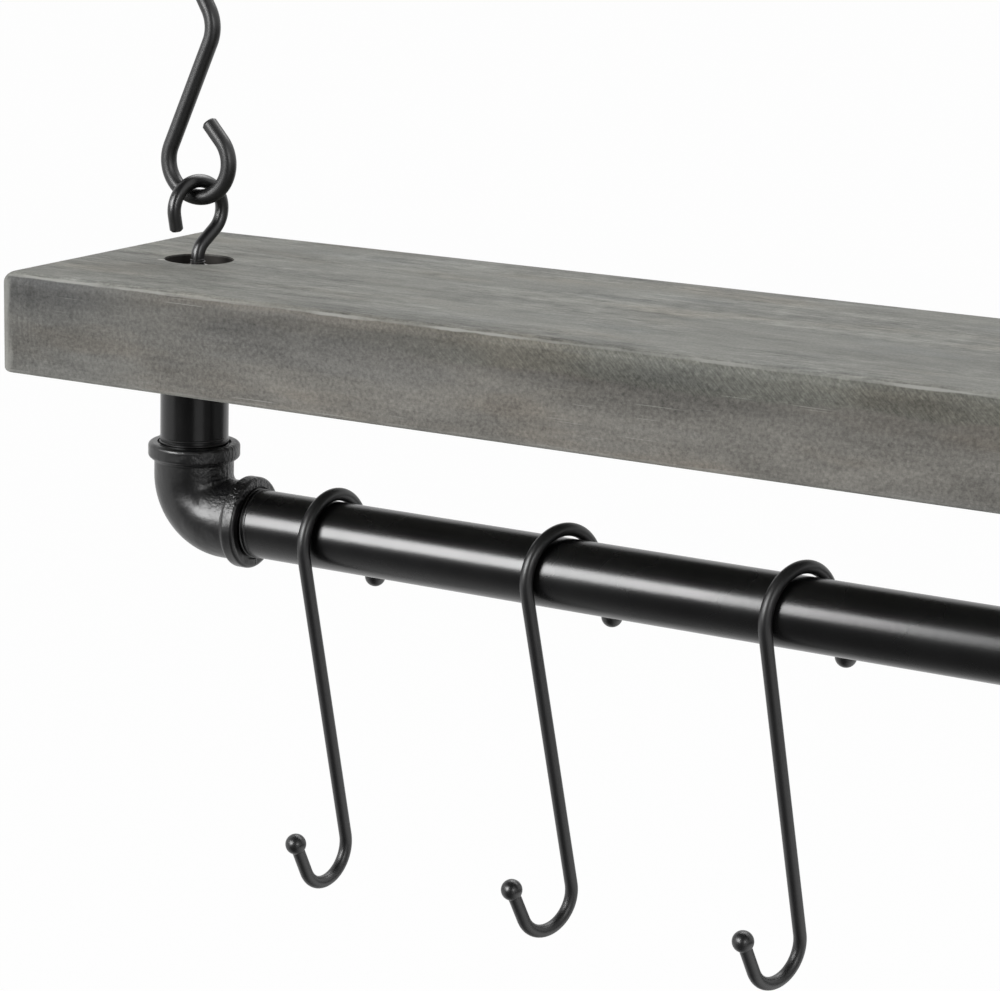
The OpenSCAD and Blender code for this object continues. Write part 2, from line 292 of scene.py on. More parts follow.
def add_node(tree, kind, sockets=None, **settings):
    """One node. A socket is given a value, or another node's output to link to."""
    made = tree.nodes.new(kind)
    for name, value in settings.items():
        setattr(made, name, value)
    for name, value in (sockets or {}).items():
        if isinstance(value, bpy.types.NodeSocket):
            tree.links.new(value, made.inputs[name])
        else:
            made.inputs[name].default_value = value
    return made


def calculate(tree, operation, first, second=0.0):
    """The result of a Math node."""
    return add_node(tree, "ShaderNodeMath", {0: first, 1: second}, operation=operation).outputs[0]


def minus(tree, first, second):
    """first minus second."""
    return calculate(tree, "SUBTRACT", first, second)


def without_sign(tree, value):
    """A value's distance from zero."""
    return calculate(tree, "ABSOLUTE", value)


def add_up(tree, *parts):
    """The sum of any number of values."""
    total = parts[0]
    for part in parts[1:]:
        total = calculate(tree, "ADD", total, part)
    return total


def times(tree, *parts):
    """The product of any number of values."""
    total = parts[0]
    for part in parts[1:]:
        total = calculate(tree, "MULTIPLY", total, part)
    return total


def length_of(tree, first, second):
    """The length of a vector with two parts."""
    squares = add_up(tree, times(tree, first, first), times(tree, second, second))
    return calculate(tree, "SQRT", squares)


def ease(tree, value, start, stop, low=0.0, high=1.0):
    """value between start and stop, eased to between low and high."""
    sockets = {"Value": value, "From Min": start, "From Max": stop, "To Min": low, "To Max": high}
    return add_node(tree, "ShaderNodeMapRange", sockets, interpolation_type="SMOOTHSTEP").outputs["Result"]


def blend(tree, amount, first, second, how="MIX"):
    """One colour over another."""
    sockets = {0: amount, 6: first, 7: second}
    return add_node(tree, "ShaderNodeMix", sockets, data_type="RGBA", blend_type=how).outputs[2]


def brighten(tree, colour, light):
    """A colour times a plain value."""
    return add_node(tree, "ShaderNodeVectorMath", {0: colour, "Scale": light}, operation="SCALE").outputs[0]


def share_towards(tree, vector, direction):
    """How far a vector goes in a direction."""
    sockets = {0: vector, 1: direction}
    return add_node(tree, "ShaderNodeVectorMath", sockets, operation="DOT_PRODUCT").outputs["Value"]


def parts_of(tree, vector):
    """The x, y and z of a vector."""
    return add_node(tree, "ShaderNodeSeparateXYZ", {0: vector}).outputs


def grain(tree, place, size, detail=3.0, roughness=0.5, distortion=0.0):
    """Noise with one grain of size metres in x, y and z. One number stands for all three."""
    sizes = size if isinstance(size, (tuple, list)) else (size, size, size)
    scaled = add_node(tree, "ShaderNodeMapping", {"Vector": place, "Scale": [1 / part for part in sizes]})
    sockets = {
        "Vector": scaled.outputs[0], "Scale": 1.0,
        "Detail": detail, "Roughness": roughness, "Distortion": distortion,
    }
    return add_node(tree, "ShaderNodeTexNoise", sockets).outputs["Fac"]


def swing(tree, noise, amount):
    """How far a noise swings about its middle, times amount."""
    return times(tree, minus(tree, noise, 0.5), amount)


def mix_swings(tree, noises, strengths):
    """The sum of the named noises' swings, each with its own strength."""
    return add_up(tree, *[swing(tree, noises[name], strength) for name, strength in strengths.items()])


def bump(tree, height, depth, normal=None):
    """A bumped normal. A height of one stands for depth metres."""
    sockets = {"Height": height, "Strength": 1.0, "Distance": depth}
    if normal is not None:
        sockets["Normal"] = normal
    return add_node(tree, "ShaderNodeBump", sockets).outputs[0]


def opaque(colour, lighter=1.0):
    """A colour, made lighter, with full alpha."""
    return (*[part * lighter for part in colour], 1.0)


def new_material(name):
    """A material with one Principled shader, its tree, shader and object coordinates."""
    material = bpy.data.materials.new(name)
    material.use_nodes = True
    tree = material.node_tree
    shader = tree.nodes["Principled BSDF"]
    place = add_node(tree, "ShaderNodeTexCoord")
    return material, tree, shader, place.outputs["Object"]


def empty_material(name):
    """A material with no nodes yet, and its tree."""
    material = bpy.data.materials.new(name)
    material.use_nodes = True
    material.node_tree.nodes.clear()
    return material, material.node_tree


def finish_nodes(names, material):
    """Gives CAD nodes a material."""
    for name in names:
        for slot in frame["nodes"][name].material_slots:
            slot.material = material


# Wood. Sizes are in metres along the board, across it and up.

WOOD_NOISES = {
    "clouds": {"size": (0.055, 0.03, 0.013), "roughness": 0.55, "distortion": 0.5},
    "patches": {"size": (0.10, 0.035, 0.035), "distortion": 0.6},
    "soft_patches": {"size": (0.07, 0.02, 0.02), "detail": 4.0, "distortion": 0.4},
    "bands": {"size": (0.028, 0.0065, 0.0065), "detail": 4.0, "roughness": 0.6},
    "fibres": {"size": (0.007, 0.0013, 0.0013), "detail": 4.0, "roughness": 0.65},
    "pores": {"size": (0.0013, 0.0012, 0.0012), "detail": 4.0, "roughness": 0.65},
    "speck": {"size": 0.0011, "roughness": 0.7},
    "tint": {"size": (0.09, 0.03, 0.016)},
    "saw_marks": {"size": (0.0012, 0.02, 0.012)},
    "scratches": {"size": (0.03, 0.0007, 0.0005), "detail": 1.0},
    "scratched": {"size": (0.05, 0.02, 0.02), "detail": 1.0},
    "ring_wander": {"size": (0.5, 0.09, 0.09), "detail": 2.0},
    "dark_wander": {"size": (0.08, 0.2, 0.02)},
    "sap_wander": {"size": (0.12, 0.2, 0.02)},
    "edge_wander": {"size": (0.010, 0.004, 0.004), "detail": 4.0},
    "corner_wander": {"size": (0.004, 0.004, 0.010), "detail": 4.0},
    "edge_patches": {"size": (0.03, 0.012, 0.012)},
}
# How many times larger the broad streaks are than the fine ones, along, across and up
BROAD_TO_STREAK = (4, 7, 6)

# How strongly each noise changes the lightness, on the top and bottom, on the sides, and everywhere
TOP_STRENGTHS = {"streaks": 1.2, "broad": 1.0, "bands": 1.4, "fibres": 1.7}
SIDE_STRENGTHS = {"pores": 1.2, "streaks": 0.45, "clouds": 0.8}
SHARED_STRENGTHS = {"clouds": 0.3, "speck": 1.0}
SOFT_PATCH_STRENGTH = 0.42
SAW_MARK_STRENGTH = 0.7
# Painted shade on the top near the front edge
FRONT_SHADE_STRENGTH = 0.16
# How strong the marks on the top are, from patch to patch
PATCH_RANGE = (0.45, 1.3)

# Growth rings on the ends: their middle is under the board
RING_SPACING = 0.0052
RING_MIDDLE_Y = 0.012
RING_MIDDLE_Z = -0.115
RING_STRENGTH = 0.13

# Along the board, an effect comes in from the first X to the second
DARK_LINE_DROPS = (-0.40, -0.15)
FRONT_SHADE_STARTS = (-0.37, -0.32)
FRONT_SHADE_STOPS = (-0.17, -0.21)
SAW_MARKS_START = (-0.425, -0.445)
SAPWOOD_STARTS = (-0.34, -0.20)
CORNER_SHADE_STARTS = (-0.395, -0.43)
LEFT_END_SHADE_STARTS = (-0.33, -0.44)
# The same across the board in Y, and up it in Z
FRONT_SHADE_Y = (-0.054, -0.064)
CORNER_SHADE_Z = (-0.018, -0.006)
BORE_Z = (-0.0003, -0.0009)
CHIP_Z = (-0.0015, -0.0003)

# The dark line of painted shade along the front and back, with painted light above it, and the sapwood over
# it, in Z
DARK_LINE_Z = -0.0048
DARK_LINE_DROP = -0.0035
PAINTED_EDGE_LIGHT = 0.27
PAINTED_SHADE_BELOW = 0.25
SAPWOOD_Z = -0.0115
SAPWOOD_SOFTNESS = (-0.0008, 0.0012)
SAPWOOD_STRENGTH = 0.85
# The slanting hatch in the sapwood, turned about Y by an angle in radians
HATCH_ANGLE = 0.8
HATCH_SIZE = (0.0006, 0.002, 0.0034)
HATCH_STRENGTH = 1.5

# Tones that the wash is multiplied by, and how strongly it drifts to the first two. The corner and left-end
# tones are painted shade.
DRIFT = 0.42
WARM_TONE = (1.10, 0.99, 0.88, 1)
COOL_TONE = (0.86, 0.90, 0.97, 1)
SAPWOOD_TONE = (0.95, 1.0, 0.96)
CORNER_SHADE_TONE = (0.90, 0.91, 0.94, 1)
LEFT_END_SHADE_TONE = (0.82, 0.845, 0.87, 1)

# The chip in the wash beside the left hole
CHIP_FROM_PIPE = (-0.0088, -0.0100)
CHIP_COLOUR = (0.50, 0.49, 0.46, 1)

WOOD_GLOSS = 0.2
WOOD_RELIEF = 0.00026


class Spot:
    """Where a spot of the board lies, how it faces, and its noises."""

    def __init__(self, tree, place, settings):
        self.place = place
        self.x, self.y, self.z = parts_of(tree, place)
        facing = parts_of(tree, add_node(tree, "ShaderNodeTexCoord").outputs["Normal"])
        self.on_top = ease(tree, without_sign(tree, facing[2]), 0.45, 0.85)
        self.on_end = ease(tree, without_sign(tree, facing[0]), 0.5, 0.8)
        self.on_side = minus(tree, 1.0, self.on_top)

        streak = (settings.streak_length, settings.streak_width, settings.streak_width)
        broad = [part * larger for part, larger in zip(streak, BROAD_TO_STREAK)]
        self.noises = {name: grain(tree, place, **noise) for name, noise in WOOD_NOISES.items()}
        self.noises["streaks"] = grain(tree, place, streak, detail=5.0, roughness=0.66)
        self.noises["broad"] = grain(tree, place, broad)

        self.gaps = []
        for axis, output in enumerate((self.x, self.y, self.z)):
            offset = without_sign(tree, minus(tree, output, BOARD_MIDDLE[axis]))
            self.gaps.append(minus(tree, BOARD_HALF[axis], offset))


def wood_rings(tree, spot):
    """Growth rings for the ends, between -1 and 1."""
    across = add_up(tree, spot.y, swing(tree, spot.noises["ring_wander"], 0.03), -RING_MIDDLE_Y)
    depth = minus(tree, spot.z, RING_MIDDLE_Z)
    return calculate(tree, "SINE", times(tree, length_of(tree, across, depth), 2 * math.pi / RING_SPACING))


def wood_light(tree, spot):
    """The lightness: marks, patches, rings, painted light and shade on the sides under the upper edges, and
    painted shade on the top near the front edge.
    """
    noises = spot.noises
    top_marks = times(tree, spot.on_top, mix_swings(tree, noises, TOP_STRENGTHS))
    top_marks = times(tree, top_marks, ease(tree, noises["patches"], 0.35, 0.62, *PATCH_RANGE))
    soft_patches = times(tree, spot.on_top, swing(tree, noises["soft_patches"], SOFT_PATCH_STRENGTH))
    side_marks = times(tree, spot.on_side, mix_swings(tree, noises, SIDE_STRENGTHS))
    end_marks = times(tree, spot.on_end, wood_rings(tree, spot), RING_STRENGTH)
    shared = mix_swings(tree, noises, SHARED_STRENGTHS)
    light = add_up(tree, 1.0, top_marks, soft_patches, side_marks, end_marks, shared)

    # Painted light and shade on the sides: lighter just under the upper edges, where the rounded edge would
    # catch the light, darkest along a line a few millimetres down, and lighter again towards the bottom
    drop = ease(tree, spot.x, *DARK_LINE_DROPS, 0.0, DARK_LINE_DROP)
    dark_line = add_up(tree, DARK_LINE_Z, drop, swing(tree, noises["dark_wander"], 0.006))
    above = ease(tree, calculate(tree, "DIVIDE", spot.z, dark_line), 1.0, 0.12, 0.0, PAINTED_EDGE_LIGHT)
    below = ease(tree, minus(tree, spot.z, dark_line), -0.018, 0.0, 0.0, PAINTED_SHADE_BELOW)
    # Painted shade: the top is darker near the front edge, along part of the board's left half
    front_shade = times(
        tree, ease(tree, spot.y, *FRONT_SHADE_Y), ease(tree, spot.x, *FRONT_SHADE_STARTS),
        ease(tree, spot.x, *FRONT_SHADE_STOPS), spot.on_top, FRONT_SHADE_STRENGTH,
    )
    saw_marks = swing(tree, noises["saw_marks"], SAW_MARK_STRENGTH)
    sawn = times(tree, spot.on_side, ease(tree, spot.x, *SAW_MARKS_START), saw_marks)
    return times(
        tree, light, add_up(tree, 1.0, times(tree, spot.on_side, above)),
        minus(tree, 1.0, times(tree, spot.on_side, below)),
        minus(tree, 1.0, front_shade), add_up(tree, 1.0, sawn),
    )


def wood_tones(tree, spot, colour):
    """Warm and cool drifts, the hatched sapwood under the top edges, painted shade on the upper sides near
    the left corner, and painted shade with a cooler tint towards the left end.
    """
    noises = spot.noises
    warm = ease(tree, noises["tint"], 0.52, 0.70, 0.0, DRIFT)
    cool = ease(tree, noises["tint"], 0.47, 0.30, 0.0, DRIFT)
    colour = blend(tree, warm, colour, WARM_TONE, "MULTIPLY")
    colour = blend(tree, cool, colour, COOL_TONE, "MULTIPLY")

    wander = add_up(tree, swing(tree, noises["sap_wander"], 0.016), swing(tree, noises["pores"], 0.002))
    over = minus(tree, minus(tree, spot.z, SAPWOOD_Z), wander)
    sapwood = times(
        tree, ease(tree, over, *SAPWOOD_SOFTNESS), ease(tree, spot.x, *SAPWOOD_STARTS),
        spot.on_side, SAPWOOD_STRENGTH,
    )
    sockets = {"Vector": spot.place, "Axis": (0, 1, 0), "Angle": HATCH_ANGLE}
    slant = add_node(tree, "ShaderNodeVectorRotate", sockets, rotation_type="AXIS_ANGLE").outputs[0]
    hatch = grain(tree, slant, HATCH_SIZE, detail=2.0)
    hatched = brighten(tree, SAPWOOD_TONE, add_up(tree, 1.0, swing(tree, hatch, HATCH_STRENGTH)))
    colour = blend(tree, sapwood, colour, hatched, "MULTIPLY")

    # Painted shade on the upper part of the sides towards the left corner
    corner = times(
        tree, spot.on_side, ease(tree, spot.z, *CORNER_SHADE_Z), ease(tree, spot.x, *CORNER_SHADE_STARTS),
    )
    colour = blend(tree, corner, colour, CORNER_SHADE_TONE, "MULTIPLY")
    # Painted shade with a cooler tint: the sides grow darker and bluer towards the left end
    left_end_shade = times(tree, spot.on_side, ease(tree, spot.x, *LEFT_END_SHADE_STARTS))
    return blend(tree, left_end_shade, colour, LEFT_END_SHADE_TONE, "MULTIPLY")


def wood_wear(tree, spot, settings):
    """How pale the long edges, the upright corners and the scratches are. The scratches are rubbed wood; the
    lines on the long edges and upright corners are partly rubbed wood and partly a painted highlight.
    """
    noises = spot.noises
    least = calculate(tree, "MINIMUM", spot.gaps[0], calculate(tree, "MINIMUM", spot.gaps[1], spot.gaps[2]))
    most = calculate(tree, "MAXIMUM", spot.gaps[0], calculate(tree, "MAXIMUM", spot.gaps[1], spot.gaps[2]))
    to_edge = minus(tree, minus(tree, add_up(tree, *spot.gaps), least), most)
    to_edge = add_up(tree, to_edge, swing(tree, noises["edge_wander"], 0.0012), -settings.top_round * 0.26)
    # Rubbed pale wood and a painted highlight along the long edges
    edges = times(
        tree, ease(tree, to_edge, settings.worn_and_highlight_width, settings.worn_and_highlight_width * 0.35),
        ease(tree, noises["edge_patches"], 0.40, 0.62, 0.28, 0.85),
        ease(tree, spot.z, -0.030, -0.020, 0.35, 1.0),
    )
    # Rubbed pale wood and a painted highlight down the upright corners
    to_corner = add_up(tree, spot.gaps[0], spot.gaps[1], swing(tree, noises["corner_wander"], 0.006))
    corners = times(tree, ease(tree, to_corner, 0.0064, 0.0030, 0.0, 0.45), spot.on_side)
    scratches = times(
        tree, ease(tree, noises["scratches"], 0.70, 0.76), ease(tree, noises["scratched"], 0.54, 0.60), 0.4,
    )
    return edges, corners, scratches


def wood_chip(tree, spot):
    """The small chip in the wash beside the left hole."""
    along = add_up(tree, spot.x, -NIPPLE_X, -CHIP_FROM_PIPE[0])
    across = minus(tree, spot.y, CHIP_FROM_PIPE[1])
    away = length_of(tree, times(tree, along, 0.5), across)
    chip = ease(tree, add_up(tree, away, swing(tree, spot.noises["speck"], 0.001)), 0.0014, 0.0007, 0.0, 0.75)
    return times(tree, chip, ease(tree, spot.z, *CHIP_Z))


def painted_bore_shade(tree, spot, settings):
    """One inside the two holes in the top, where their walls are painted dark as shade."""
    along = minus(tree, without_sign(tree, spot.x), abs(NIPPLE_X) - settings.counterbore_shift)
    radius = settings.counterbore / 2
    inside = ease(tree, length_of(tree, along, spot.y), radius + 0.0011, radius + 0.0007)
    return times(tree, inside, ease(tree, spot.z, *BORE_Z))


def washed_wood(settings):
    """Grey-washed lumber: streaks and fibres along the board, pores, patches, pale edges that are partly
    rubbed and partly a painted highlight, painted light and shade under the upper edges, and bores painted
    dark as shade.
    """
    material, tree, shader, place = new_material("washed_wood_board")
    spot = Spot(tree, place, settings)
    noises = spot.noises
    # The top is lighter than the sides, partly its own colour and partly painted light from above; the
    # rounded edges blend from one to the other
    base = blend(tree, spot.on_top, opaque(settings.side_colour), opaque(settings.top_colour))
    colour = wood_tones(tree, spot, brighten(tree, base, wood_light(tree, spot)))
    edges, corners, scratches = wood_wear(tree, spot, settings)
    # Pale marks: rubbed wood in the scratches, rubbed wood and a painted highlight on the edges and corners
    for pale_mark in (scratches, edges, corners):
        colour = blend(tree, pale_mark, colour, opaque(settings.worn_and_highlight_colour))
    colour = blend(tree, wood_chip(tree, spot), colour, CHIP_COLOUR)
    # Painted shade inside the holes
    colour = blend(tree, painted_bore_shade(tree, spot, settings), colour, opaque(settings.bore_shade_colour))
    tree.links.new(colour, shader.inputs["Base Color"])

    rough = add_up(tree, ease(tree, noises["streaks"], 0.3, 0.7, 0.56, 0.7), times(tree, edges, -0.08))
    tree.links.new(rough, shader.inputs["Roughness"])
    shader.inputs["Specular IOR Level"].default_value = WOOD_GLOSS
    relief = add_up(
        tree, times(tree, noises["streaks"], 0.5), times(tree, noises["fibres"], 0.35),
        times(tree, noises["pores"], 0.3),
    )
    tree.links.new(bump(tree, relief, WOOD_RELIEF), shader.inputs["Normal"])
    return material


# Metal. Sizes are in metres.

CLOUD_SIZE = 0.03
DUST_SIZE = 0.0006
RUB_WIDTH = 0.0011
RUB_LENGTH = 0.018

# The elbow's inner corner, inside its collars' outer faces, and its skin
CORNER_INSET = 0.004
KNOBBLY_REACH = (0.0225, 0.0105)
UNEVEN_SIZE, UNEVEN_STRENGTH = 0.012, 0.75
PEBBLE_SIZE, PEBBLE_STRENGTH = 0.0042, 0.17
KNOB_SIZE, KNOB_STRENGTH = 0.0017, 0.9
SEAM_HALF_WIDTH, SEAM_STRENGTH = (0.0005, 0.0001), 0.25
CASTING_RELIEF = 0.0009


def black_coating(name, colour, roughness, orange_peel, relief, wear=1.0, long_axis=None, gloss=0.65):
    """Satin black coating: orange peel, cloudy gloss, dust and small rubbed marks along long_axis."""
    material, tree, shader, place = new_material(name)
    cloud = grain(tree, place, CLOUD_SIZE)
    peel = grain(tree, place, orange_peel, detail=2.0)
    rub_size = [RUB_WIDTH, RUB_WIDTH, RUB_WIDTH]
    if long_axis is not None:
        rub_size[long_axis] = RUB_LENGTH
    rub = ease(tree, grain(tree, place, rub_size, detail=4.0, roughness=0.7), 0.68, 0.82, 0.0, wear)
    dusty = ease(tree, grain(tree, place, DUST_SIZE, detail=2.0), 0.72, 0.82, 0.0, 0.15 * wear)
    tone = blend(tree, ease(tree, cloud, 0.3, 0.7), opaque(colour), opaque(colour, lighter=1.5))
    tone = blend(tree, dusty, tone, opaque(colour, lighter=6))
    tone = blend(tree, times(tree, rub, 0.3), tone, opaque(colour, lighter=7))
    tree.links.new(tone, shader.inputs["Base Color"])
    rough = ease(tree, cloud, 0.25, 0.75, roughness - 0.03, roughness + 0.03)
    tree.links.new(add_up(tree, rough, times(tree, rub, 0.10)), shader.inputs["Roughness"])
    shader.inputs["Specular IOR Level"].default_value = gloss
    height = minus(tree, peel, times(tree, rub, 0.4))
    tree.links.new(bump(tree, height, relief), shader.inputs["Normal"])
    return material, tree, shader, place


def cast_coating(settings):
    """Black casting: soft pebbles, a parting line, and a coarse knobbly skin in the inner corner."""
    material, tree, shader, place = black_coating(
        "cast_elbow_black", settings.casting_colour, settings.casting_roughness,
        orange_peel=0.0016, relief=0.00004, gloss=0.58,
    )
    x, y, z = parts_of(tree, place)
    across = minus(tree, without_sign(tree, x), abs(ELBOW_HIGH.x) + CORNER_INSET)
    above = minus(tree, z, ELBOW_HIGH.z - CORNER_INSET)
    knobbly = ease(tree, length_of(tree, across, above), *KNOBBLY_REACH)
    knobs = times(tree, grain(tree, place, KNOB_SIZE, roughness=0.6), knobbly, KNOB_STRENGTH)
    pebbles = times(tree, grain(tree, place, PEBBLE_SIZE, detail=2.0), PEBBLE_STRENGTH)
    uneven = times(tree, grain(tree, place, UNEVEN_SIZE, detail=1.0), UNEVEN_STRENGTH)
    seam = times(tree, ease(tree, without_sign(tree, y), *SEAM_HALF_WIDTH), SEAM_STRENGTH)
    smooth = shader.inputs["Normal"].links[0].from_socket
    rough = bump(tree, add_up(tree, pebbles, knobs, seam, uneven), CASTING_RELIEF, smooth)
    tree.links.new(rough, shader.inputs["Normal"])
    return material


def bright_zinc(settings):
    """Zinc plating: blotchy, with fine turning marks and dull spots."""
    material, tree, shader, place = new_material("bright_zinc")
    blotch = grain(tree, place, 0.004, detail=4.0)
    turned = grain(tree, place, (0.004, 0.004, 0.0003), detail=2.0)
    dull = opaque(settings.zinc_colour, lighter=0.72)
    tone = blend(tree, ease(tree, blotch, 0.35, 0.7), opaque(settings.zinc_colour), dull)
    tree.links.new(tone, shader.inputs["Base Color"])
    shader.inputs["Metallic"].default_value = 1.0
    tree.links.new(ease(tree, blotch, 0.3, 0.75, 0.22, 0.42), shader.inputs["Roughness"])
    tree.links.new(bump(tree, turned, 0.00003), shader.inputs["Normal"])
    return material


# Pieces

DRILL_STEPS = 96
DRILL_PAST = 0.001
SHARP_ANGLE = math.radians(35)
THREAD_ROOT = 0.0004


def new_object(name, content):
    """Puts a mesh, lamp or camera in the scene."""
    made = bpy.data.objects.new(name, content)
    bpy.context.scene.collection.objects.link(made)
    return made


def to_mesh(name, shape):
    """A mesh made of a bmesh, which is used up."""
    mesh = bpy.data.meshes.new(name)
    shape.to_mesh(mesh)
    shape.free()
    return mesh


def show_piece(name, mesh, material, body):
    """Puts a finished mesh in the scene, riding on a body."""
    piece = new_object(name, mesh)
    piece.data.materials.append(material)
    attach(piece, body)
    return piece


def skin(shape, loops):
    """Faces from each loop of vertices to the next, and over the first and the last."""
    for below, above in zip(loops, loops[1:]):
        for i in range(len(below)):
            after = (i + 1) % len(below)
            shape.faces.new((below[i], below[after], above[after], above[i]))
    shape.faces.new(reversed(loops[0]))
    shape.faces.new(loops[-1])
    bmesh.ops.recalc_face_normals(shape, faces=shape.faces)


def rounded_outline(half_x, half_y, radius, steps):
    """Points round a rectangle with round corners."""
    points = []
    for quarter, (side_x, side_y) in enumerate(((1, 1), (-1, 1), (-1, -1), (1, -1))):
        for step in range(steps + 1):
            angle = (quarter + step / steps) * math.pi / 2
            x = side_x * (half_x - radius) + radius * math.cos(angle)
            y = side_y * (half_y - radius) + radius * math.sin(angle)
            points.append((x, y))
    return points


def board_levels(settings):
    """Heights from the bottom up, each with how far the outline is drawn in along x and along y."""
    angles = [step / settings.round_steps * math.pi / 2 for step in range(settings.round_steps + 1)]
    levels = []
    for angle in angles:
        drawn_in = settings.foot_round * (1 - math.sin(angle))
        levels.append((BOARD_LOW.z + settings.foot_round * (1 - math.cos(angle)), drawn_in, drawn_in))
    for angle in angles:
        z = BOARD_HIGH.z - settings.top_round * (1 - math.sin(angle))
        share = 1 - math.cos(angle)
        levels.append((z, settings.end_round * share, settings.long_round * share))
    return levels


def board_blank(settings):
    """The board without its holes: rounded outlines stacked up, drawn in at the lower and upper edges."""
    shape = bmesh.new()
    loops = []
    for z, in_x, in_y in board_levels(settings):
        radius = settings.corner_radius - min(in_x, in_y)
        outline = rounded_outline(BOARD_HALF.x - in_x, BOARD_HALF.y - in_y, radius, settings.round_steps)
        loops.append([shape.verts.new((BOARD_MIDDLE.x + x, BOARD_MIDDLE.y + y, z)) for x, y in outline])
    skin(shape, loops)
    return to_mesh("board_blank", shape)


def drill(x, radius, low, high):
    """Two upright cylinders for cutting, at x and -x."""
    shape = bmesh.new()
    for side in (-1, 1):
        bmesh.ops.create_cone(
            shape, cap_ends=True, segments=DRILL_STEPS, radius1=radius, radius2=radius, depth=high - low,
            matrix=Matrix.Translation((side * x, 0, (low + high) / 2)),
        )
    return to_mesh("drill", shape)


def board_mesh(settings):
    """The board with its counterbores, sockets and bolt holes, which are as deep as in the solid."""
    top, bottom = BOARD_HIGH.z + DRILL_PAST, BOARD_LOW.z - DRILL_PAST
    blank, *cuts = [
        new_object("cut", mesh) for mesh in (
            board_blank(settings),
            drill(abs(NIPPLE_X) - settings.counterbore_shift, settings.counterbore / 2, WASHER_LOW.z, top),
            drill(abs(NIPPLE_X), settings.socket / 2, bottom, NIPPLE_HIGH.z),
            drill(abs(BOLT_X), settings.bolt_hole / 2, bottom, top),
        )
    ]
    for cutter in cuts:
        cut = blank.modifiers.new("cut", "BOOLEAN")
        cut.operation = "DIFFERENCE"
        cut.solver = "EXACT"
        cut.object = cutter
    mesh = bpy.data.meshes.new_from_object(blank.evaluated_get(bpy.context.evaluated_depsgraph_get()))
    for used in (blank, *cuts):
        left_over = used.data
        bpy.data.objects.remove(used)
        bpy.data.meshes.remove(left_over)
    mesh.materials.clear()
    mesh.shade_smooth()
    mesh.set_sharp_from_angle(angle=SHARP_ANGLE)
    return mesh


def thread_turns(name, radius, start, ridge, settings, turn, material):
    """A helical ridge of thread round the local Z axis from start, then placed by turn.

    ridge is its pitch and height.
    """
    pitch, height = ridge
    section = (
        (radius - THREAD_ROOT, 0), (radius - THREAD_ROOT, pitch * 0.9),
        (radius + height, pitch * 0.55), (radius + height, pitch * 0.35),
    )
    shape = bmesh.new()
    loops = []
    for step in range(settings.turns * settings.steps + 1):
        angle = 2 * math.pi * step / settings.steps
        climb = start + pitch * step / settings.steps
        points = [(r * math.cos(angle), r * math.sin(angle), climb + rise) for r, rise in section]
        loops.append([shape.verts.new(point) for point in points])
    skin(shape, loops)
    bmesh.ops.transform(shape, matrix=turn, verts=shape.verts)
    return show_piece(name, to_mesh(name, shape), material, "rack")


# Operators


class POTRACK_OT_board(bpy.types.Operator):
    """Builds the shelf board with its sanded-round corners, and gives it its wash, grain, pale edges that are
    partly rubbed and partly a painted highlight, painted light and shade under the upper edges, and bores
    painted dark as shade
    """

    bl_idname = "potrack.board"
    bl_label = "Board"

    def execute(self, context):
        settings = context.scene.potrack_wood
        mesh = board_mesh(settings)
        piece = show_piece("sanded_board", mesh, washed_wood(settings), "rack")
        piece.modifiers.new("even_faces", "WEIGHTED_NORMAL").keep_sharp = True
        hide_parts("shelf_board")
        return {"FINISHED"}


class POTRACK_OT_pipes(bpy.types.Operator):
    """Coats the rail and the two nipples"""

    bl_idname = "potrack.pipes"
    bl_label = "Pipes"

    def execute(self, context):
        metal = context.scene.potrack_metal
        rail = black_coating(
            "rail_black", metal.pipe_colour, metal.pipe_roughness,
            orange_peel=0.0022, relief=0.00002, wear=0.6, long_axis=0, gloss=0.62,
        )[0]
        upright = black_coating(
            "nipple_black", metal.pipe_colour, metal.pipe_roughness - 0.03,
            orange_peel=0.0022, relief=0.00003, wear=0.5, long_axis=2, gloss=0.42,
        )[0]
        finish_nodes(["rail_pipe"], rail)
        finish_nodes(["left_nipple", "right_nipple"], upright)
        return {"FINISHED"}


class POTRACK_OT_threads(bpy.types.Operator):
    """Adds the last turns of thread that show at the elbows and at the foot of the hook bolts"""

    bl_idname = "potrack.threads"
    bl_label = "Exposed threads"

    def execute(self, context):
        settings = context.scene.potrack_threads
        metal = context.scene.potrack_metal
        coat = black_coating(
            "thread_black", metal.pipe_colour, metal.pipe_roughness + 0.06,
            orange_peel=0.0012, relief=0.00003,
        )[0]
        bolt_coat = black_coating(
            "bolt_thread_dark", metal.crest_colour, metal.wire_roughness - 0.12,
            orange_peel=0.0012, relief=0.00003,
        )[0]
        ridge = (settings.pitch, settings.height)
        bolt_ridge = (settings.bolt_pitch, settings.bolt_height)
        radius = (RAIL_HIGH.z - RAIL_LOW.z) / 2
        wire_radius = settings.bolt_wire / 2
        for side, sign in (("left", 1), ("right", -1)):
            upright = Matrix.Translation((sign * NIPPLE_X, 0, ELBOW_HIGH.z))
            mouth = Matrix.Translation((sign * ELBOW_HIGH.x, 0, RAIL_Z))
            mouth = mouth @ Matrix.Rotation(sign * math.pi / 2, 4, "Y")
            shank = Matrix.Translation((sign * BOLT_X, 0, NUT_TOP))
            for name, turn in (("_nipple_thread", upright), ("_rail_thread", mouth)):
                thread_turns(side + name, radius, -settings.pitch, ridge, settings, turn, coat)
            thread_turns(
                side + "_bolt_thread", wire_radius, 0.0, bolt_ridge, settings, shank, bolt_coat,
            )
        return {"FINISHED"}


